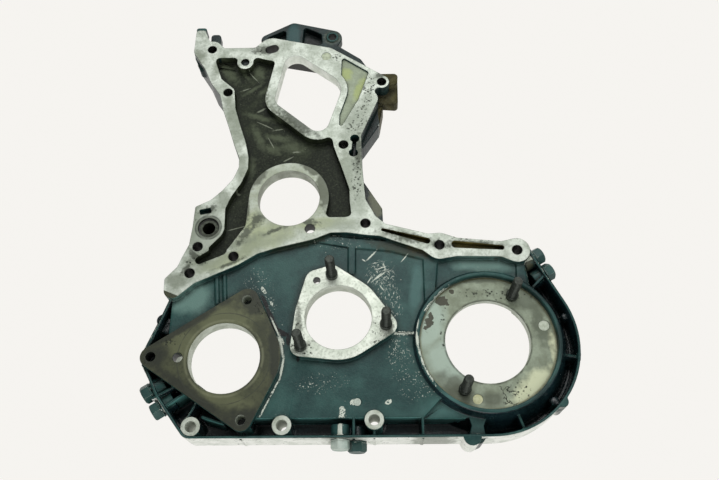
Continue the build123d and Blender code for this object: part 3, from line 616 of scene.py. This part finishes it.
def face_finishes(mesh, pairs, cosine):
    """Finish of each polygon of the casting, from its flat face's heights, place and normal."""
    count = len(mesh.polygons)
    starts = np.zeros(count, np.int32)
    mesh.polygons.foreach_get("loop_start", starts)
    corner = np.zeros(len(mesh.loops), np.int32)
    mesh.loops.foreach_get("vertex_index", corner)
    point = np.zeros(len(mesh.vertices) * 3)
    mesh.vertices.foreach_get("co", point)
    point = point.reshape(-1, 3) / MM
    height = point[corner, 2]
    low = np.minimum.reduceat(height, starts)
    high = np.maximum.reduceat(height, starts)
    x, y = point[corner[starts], :2].T
    one, other = pairs[cosine > FLAT_COSINE].T
    for _ in range(FLAT_STEPS):
        np.minimum.at(low, one, low[other])
        np.minimum.at(low, other, low[one])
        np.maximum.at(high, one, high[other])
        np.maximum.at(high, other, high[one])
    normal = face_normals(mesh)
    upward = normal[:, 2]
    up = upward > 0.9
    side = np.abs(upward) < 0.2
    downhill = normal[:, 1]

    def flat(level):
        return up & (np.abs(low - level) < LEVEL_SLACK) & (np.abs(high - level) < LEVEL_SLACK)

    def near(ax, ay, reach):
        return np.hypot(x - ax, y - ay) < reach

    def along(start, end, reach):
        run = np.subtract(end, start)
        share = np.clip(((x - start[0]) * run[0] + (y - start[1]) * run[1]) / (run @ run), 0, 1)
        return np.hypot(x - start[0] - share * run[0], y - start[1] - share * run[1]) < reach

    chosen = np.full(count, ORDER.index("outer_paint"))

    def give(mask, name):
        chosen[mask] = ORDER.index(name)

    case = (y < RAIL_Y - 0.5) | (x > ARM_CORNER[0]) & (y < ARM_CORNER[1])
    rail = (y > RAIL_Y) | ((y > RAIL_FOOT[1]) & (x < RAIL_FOOT[0]))
    arm = y > RAIL_FOOT[1]
    from_channel = (low > CHANNEL_Z - 0.5) & (low < LOW_PANEL_Z - 1)
    give((upward < -0.9) | (low < 0.5) & (np.abs(high - REAR_LEDGE_Z) < 2), "casting")

    # The painted wall and what stands on it, then the channel round it
    give(case & (low > LOW_PANEL_Z - 1), "paint")
    give(side & (high > FIELD_Z + 1) & (low > LOW_PANEL_Z - 1) & (low < POCKET_Z - 0.5), "paint")
    give(flat(FIELD_Z) | flat(FRAME_Z) | flat(LOW_PANEL_Z), "paint")
    give(side & (low > FIELD_Z - 0.5) & (high > FACE_Z - 0.5), "paint")
    give(case & from_channel & (high < FIELD_Z + 2.5) & ~flat(FIELD_Z) & ~flat(FRAME_Z)
         & ~flat(LOW_PANEL_Z), "channel_paint")
    give((upward > 0.1) & (upward < 0.9) & near(0, 0, RING_BANK_R), "channel_paint")
    give(side & (downhill < -0.5) & (y < BANK_Y) & (np.abs(low - CHANNEL_Z - 0.25) < 0.75), "bank_painted_lit")
    give(side & (low < 1) & (np.abs(high - FRAME_Z + 1) < 2)
         & ((downhill < -0.6) | (y < RIM_FOOT_Y)), "rim_side")

    # The machined faces and the pockets
    give(flat(FACE_Z) & rail, "gasket_face")
    give(flat(FACE_Z) & ~rail & (x < FLANGE_SPLIT_X), "oiled_flange")
    give(flat(FACE_Z) & ~rail & (x >= FLANGE_SPLIT_X), "pale_flange")
    give(flat(RING_FLOOR_Z) & near(0, 0, RING_FLOOR_R + 1), "ring_floor")
    give(flat(LIP_Z), "paint")
    give(flat(SLEEVE_Z), "bore")
    give(flat(FACE_Z - CRESCENT_DEPTH), "crescent")
    give(arm & (flat(POCKET_Z) | flat(POCKET_Z + RIDGE_RISE)), "pocket")
    give(arm & side & (np.abs(low - POCKET_Z) < 0.5), "pocket")
    give(side & near(*WINDOW) & (np.abs(low - WINDOW_LEDGE_Z) < 1) & (high > FACE_Z - 1),
         "window_wall")

    # The holes
    for ax, ay, radius in BORES:
        give(side & near(ax, ay, radius + 0.4), "bore")
    for ax, ay in BOLT_HOLES:
        give(side & near(ax, ay, BOLT_HOLE_REACH), "hole")
    for ax, ay in BRIGHT_HOLES:
        give(side & near(ax, ay, BOLT_HOLE_REACH), "bore")
    for ax, ay, reach in (PORT, TOP_HOLE):
        give(near(ax, ay, reach) & ~flat(FACE_Z) & ~flat(0.0), "hole")
    for start, end in SLOTS:
        give((low > FIELD_Z - 0.5) & ~flat(FACE_Z) & along(start, end, SLOT_REACH), "slot")
    give((x > RUSTY_LUG[0]) & (y > RUSTY_LUG[1]) & (high < FRAME_Z), "rust_lug")
    return chosen


def edge_weights(pairs, cosine, kept):
    """Bevel weight of each edge: machined ones less than cast ones, seams in a curve none."""
    machined = np.isin(kept, MACHINED)[pairs].any(1)
    weight = np.where(cosine < math.cos(EDGE_ANGLE), np.where(machined, MACHINED_SHARE, 1.0), 0.0)
    return np.where((kept == ORDER.index("rust_lug"))[pairs].any(1), 0.0, weight)


def dressed_casting():
    """The CAD casting as one welded mesh, with its edges rounded."""
    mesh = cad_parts["housing"].data.copy()
    mesh.name = "casting"
    work = bmesh.new()
    work.from_mesh(mesh)
    bmesh.ops.remove_doubles(work, verts=work.verts, dist=WELD * MM)
    work.to_mesh(mesh)
    work.free()
    mesh.materials.clear()
    for name in ORDER:
        mesh.materials.append(finishes[name])
    pairs, cosine = neighbours(mesh)
    kept = face_finishes(mesh, pairs, cosine)
    mesh.polygons.foreach_set("material_index", kept.astype(np.int32))
    mesh.polygons.foreach_set("use_smooth", np.ones(len(mesh.polygons), bool))
    mesh.set_sharp_from_angle(angle=EDGE_ANGLE)
    weight = mesh.attributes.new("bevel_weight_edge", "FLOAT", "EDGE")
    weight.data.foreach_set("value", edge_weights(pairs, cosine, kept).astype(np.float32))
    casting = bpy.data.objects.new("casting", mesh)
    bpy.context.scene.collection.objects.link(casting)
    rounding = casting.modifiers.new("rounding", "BEVEL")
    rounding.limit_method = "WEIGHT"
    rounding.width = EDGE_ROUNDING * MM
    rounding.segments = 2
    rounding.use_clamp_overlap = False
    rounding.loop_slide = False
    leveling = casting.modifiers.new("flat walls", "WEIGHTED_NORMAL")
    leveling.keep_sharp = True
    return casting


def grid_piece(name, points, finish):
    """Mesh from points on a (rows, columns) grid: columns go round, end rows close to a pole."""
    rows, columns, _ = points.shape
    index = np.arange(rows * columns).reshape(rows, columns)
    here, there = index[:-1], index[1:]
    quads = np.stack([here, np.roll(here, -1, 1), np.roll(there, -1, 1), there], -1).reshape(-1, 4)
    mesh = bpy.data.meshes.new(name)
    mesh.from_pydata(points.reshape(-1, 3) * MM, [], quads)
    mesh.polygons.foreach_set("use_smooth", np.ones(len(mesh.polygons), bool))
    work = bmesh.new()
    work.from_mesh(mesh)
    bmesh.ops.remove_doubles(work, verts=work.verts, dist=FORM_WELD * MM)
    bmesh.ops.recalc_face_normals(work, faces=work.faces)
    work.to_mesh(mesh)
    work.free()
    mesh.set_sharp_from_angle(angle=FORM_ANGLE)
    mesh.materials.append(finish)
    piece = bpy.data.objects.new(name, mesh)
    bpy.context.scene.collection.objects.link(piece)
    return piece


def stud(name, x, y, seat, grip, finish):
    """Threaded stud: radius over height and angle, cut by a helix, a groove once round per pitch."""
    shank_low, shank_high = seat + COLLAR_HEIGHT, seat + STUD_HEIGHT
    collar_cut, collar_cut_height = COLLAR_CUT
    height = np.concatenate([
        [seat - grip] * 2, [seat] * 2, [shank_low - collar_cut_height], [shank_low] * 2,
        np.arange(shank_low + 0.2, shank_high - 0.01, THREAD_PITCH / THREAD_ROWS),
        [shank_high] * 2])
    angle = np.linspace(0, 2 * np.pi, STUD_SIDES, endpoint=False)
    level, turn = np.meshgrid(height, angle, indexing="ij")
    phase = ((level - seat) / THREAD_PITCH - turn / (2 * np.pi)) % 1
    groove = 1 - np.abs(2 * phase - 1)
    fade = np.clip((level - shank_low) / THREAD_PITCH, 0, 1)
    radius = STUD_R - THREAD_DEPTH * groove * fade
    tip_cut, tip_height = TIP_CUT
    tip = np.clip((level - shank_high + tip_height) / tip_height, 0, 1)
    radius = np.minimum(radius, STUD_R - tip_cut * tip)
    rows = [0, STUD_R, STUD_R, COLLAR_R, COLLAR_R, COLLAR_R - collar_cut, STUD_R]
    radius[:len(rows)] = np.array(rows)[:, None]
    radius[-1] = 0
    points = np.stack([x + radius * np.cos(turn), y + radius * np.sin(turn), level], -1)
    return grid_piece(name + "_threaded", points, finish)


def side_bolt(number, x, y, facing, height, head, spin, finish):
    """Hexagon bolt lying in the rim: distance to a hexagon's side, cut by the cone of its chamfer."""
    seat = BOLT_SEAT
    under_head = seat + WASHER_T
    top = under_head + head
    angle = np.linspace(0, 2 * np.pi, BOLT_SIDES, endpoint=False)
    hexagon = HEX_HALF / np.cos((angle + np.pi / 6) % (np.pi / 3) - np.pi / 6)
    corner = HEX_HALF / math.cos(math.pi / 6)
    whole = np.ones_like(angle)
    stations = [(-SHANK_LENGTH, 0 * whole), (-SHANK_LENGTH, SHANK_R * whole),
                (seat, SHANK_R * whole), (seat, (WASHER_R - 0.3) * whole),
                (seat + WASHER_CUT, WASHER_R * whole), (under_head - WASHER_CUT, WASHER_R * whole),
                (under_head, (WASHER_R - 0.5) * whole), (under_head, hexagon),
                (top - HEAD_CHAMFER[0][0] - 0.5, hexagon)]
    stations += [(top - down, np.minimum(hexagon, corner - cut)) for down, cut in HEAD_CHAMFER]
    stations += [(top, np.minimum(hexagon, HEX_HALF - 0.5)),
                 (top - DISH_DEPTH, (HEX_HALF - 2.0) * whole), (top - DISH_DEPTH, 0 * whole)]
    out = np.array([station[0] for station in stations])[:, None] * whole
    radius = np.stack([station[1] for station in stations])
    facing, spin = math.radians(facing), math.radians(spin)
    across = radius * np.cos(angle + spin)
    points = np.stack([x + out * math.cos(facing) - across * math.sin(facing),
                       y + out * math.sin(facing) + across * math.cos(facing),
                       height + radius * np.sin(angle + spin)], -1)
    return grid_piece(f"side_bolt_{number}_hexagon", points, finish)


# Steel blackened by oil, and hexagon heads painted over with the case, one worn to pale metal and
# lightened further as painted light
stud_finish = plain_metal("oil-blackened steel stud", "#20251f", "#3a4038", 0.5, 0.42)
bolt_finish = enamel("teal enamel on a steel bolt", "#26413e", "#3b5853", 0.35, 0.05)
worn_and_lit_bolt_finish = enamel("worn enamel on a steel bolt, lightened as painted light", "#93a49a", "#c6cfc5", 0.35, 0.1)

casting = dressed_casting()
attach(casting, "root")
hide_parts("housing")

for name, (x, y, seat) in STUDS.items():
    piece = stud(name, x, y, seat, STUD_GRIP[name.split("_")[0]], stud_finish)
    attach(piece, "root")
    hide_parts(name)

for number, bolt in enumerate(SIDE_BOLTS, start=1):
    piece = side_bolt(number, *bolt, worn_and_lit_bolt_finish if number == WORN_AND_LIT_BOLT else bolt_finish)
    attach(piece, "root")
    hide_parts(f"side_bolt_{number}")

# Small turned and pressed fittings, which keep their CAD shapes: dull, with a thin film of oil
node_finishes = {
    "port_bush": plain_metal("steel bush, oily", "#23271f", "#3a3f35", 0.7, 0.4),
    "ring_plug_1": plain_metal("brass plug, tarnished", "#b5b795", "#989a74", 0.6, 0.45),
    "ring_plug_2": plain_metal("steel plug, bright", "#acb3a4", "#949c8b", 0.6, 0.5),
    "gallery_plug": plain_metal("steel plug, greased", "#98a089", "#7b8270", 0.6, 0.45),
    "field_plug": plain_metal("steel plug, scraped", "#a8b1a6", "#8b948a", 0.6, 0.45)}
for name, finish in node_finishes.items():
    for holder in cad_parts[name].material_slots:
        holder.material = finish


# Pale floor, lit enough from within that it stays near white as on a light table
FLOOR_HALF = 4.0
FLOOR_Z = -0.0005
floor_mesh = bpy.data.meshes.new("floor")
floor_mesh.from_pydata([(-FLOOR_HALF, -FLOOR_HALF, FLOOR_Z), (FLOOR_HALF, -FLOOR_HALF, FLOOR_Z),
                        (FLOOR_HALF, FLOOR_HALF, FLOOR_Z), (-FLOOR_HALF, FLOOR_HALF, FLOOR_Z)],
                       [], [(0, 1, 2, 3)])
floor = bpy.data.objects.new("floor", floor_mesh)
bpy.context.scene.collection.objects.link(floor)
floor_finish, tree, shader, _ = new_finish("white acrylic table")
set_shader(tree, shader, Base_Color=linear("#0a0a0a"), Roughness=1.0, Specular_IOR_Level=0.0,
           Emission_Color=linear("#f6f4f0"), Emission_Strength=0.995)
floor_mesh.materials.append(floor_finish)

# Soft studio light: an even pale room, a large panel above and behind, and two fills, from the
# right and low from the front: place and size in metres, power in watts
LAMPS = {"key": ((-0.15, 1.0, 1.6), 1.2, 20.0), "fill": ((1.0, -0.2, 1.2), 0.8, 7.0),
         "front": ((-0.2, -1.2, 0.5), 0.8, 6.0)}
LAMPS_AIM = (-0.13, 0.12, 0.0)
world = bpy.data.worlds.new("studio")
bpy.context.scene.world = world
world.use_nodes = True
room = world.node_tree.nodes["Background"].inputs
room["Color"].default_value = linear("#f2f3f4")
room["Strength"].default_value = 0.3
for name, (spot, size, power) in LAMPS.items():
    lamp = bpy.data.lights.new(name, "AREA")
    lamp.size = size
    lamp.energy = power
    holder = bpy.data.objects.new(name, lamp)
    bpy.context.scene.collection.objects.link(holder)
    holder.location = spot
    aim = np.subtract(LAMPS_AIM, spot)
    holder.rotation_euler = (0, math.acos(-aim[2] / np.linalg.norm(aim)),
                             math.atan2(-aim[1], -aim[0]))

# Camera fitted to the rims of the four round bores
camera_data = bpy.data.cameras.new("camera")
camera_data.lens = 38.55
camera_data.sensor_width = 36.0
camera_data.clip_end = 20.0
camera = bpy.data.objects.new("camera", camera_data)
bpy.context.scene.collection.objects.link(camera)
camera.location = (-0.1112, -0.2344, 0.8073)
camera.rotation_mode = "XYZ"
camera.rotation_euler = Euler((math.radians(24.5), math.radians(1.6), 0.0), "XYZ")
bpy.context.scene.camera = camera
bpy.context.scene.view_settings.view_transform = "Standard"
